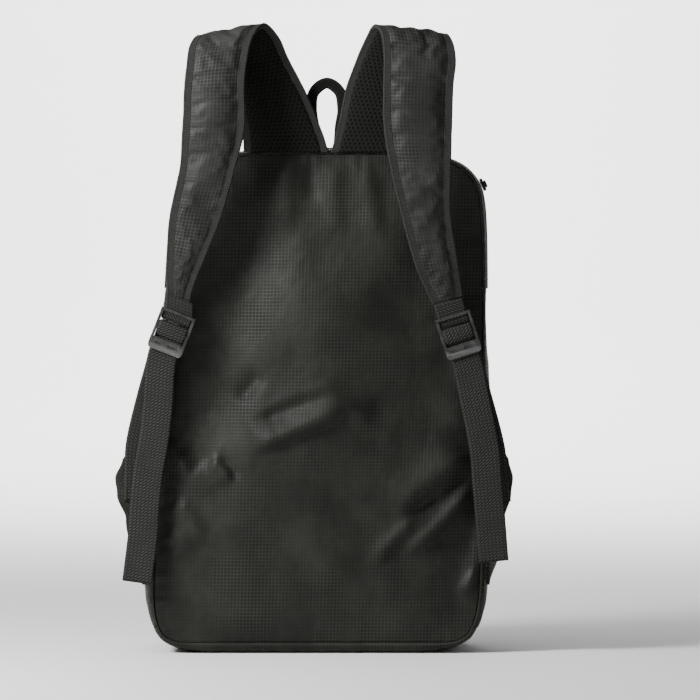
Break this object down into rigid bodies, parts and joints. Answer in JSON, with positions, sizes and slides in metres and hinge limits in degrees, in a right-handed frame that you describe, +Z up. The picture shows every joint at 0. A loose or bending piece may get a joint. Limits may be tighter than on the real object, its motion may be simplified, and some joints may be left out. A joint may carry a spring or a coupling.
{
  "type": "packable backpack",
  "caption": "Light packable daypack with a hollow ripstop body, round-cornered top, zip, padded shoulder straps with mesh lining, ladder-lock buckles, webbing tails and a grab loop.",
  "frame": {"origin": "on the floor, below the middle of the whole object's box", "axes": "+Z up, +X to the right as seen from the straps, the back panel and its straps towards -Y"},
  "size_m": [0.3312, 0.199, 0.5275],
  "materials": {
    "ripstop": "thin grey-green ripstop nylon, soft sheen, fine square grid",
    "strap_ripstop": "paler ripstop over foam, soft sheen",
    "air_mesh": "dark open air mesh, matt",
    "binding": "woven binding tape, matt",
    "webbing": "diagonal woven nylon webbing, matt",
    "zip_tape": "woven zipper tape with nylon coil",
    "plastic": "moulded black plastic, half gloss"
  },
  "bodies": {
    "root": {"back_panel": "ripstop", "front_panel": "ripstop", "base_panel": "ripstop", "side_gusset_left": "ripstop", "side_gusset_right": "ripstop", "top_gusset_back": "ripstop", "top_gusset_front": "ripstop", "zipper": "zip_tape", "zipper_slider": "plastic", "grab_loop": "strap_ripstop", "strap_pad_left": "strap_ripstop", "strap_mesh_left": "air_mesh", "strap_binding_inner_left": "binding", "strap_binding_outer_left": "binding", "ladder_lock_left": "plastic", "strap_webbing_left": "webbing", "adjuster_webbing_left": "webbing", "wing_tab_left": "ripstop", "strap_pad_right": "strap_ripstop", "strap_mesh_right": "air_mesh", "strap_binding_inner_right": "binding", "strap_binding_outer_right": "binding", "ladder_lock_right": "plastic", "strap_webbing_right": "webbing", "adjuster_webbing_right": "webbing", "wing_tab_right": "ripstop"}
  },
  "joints": []
}
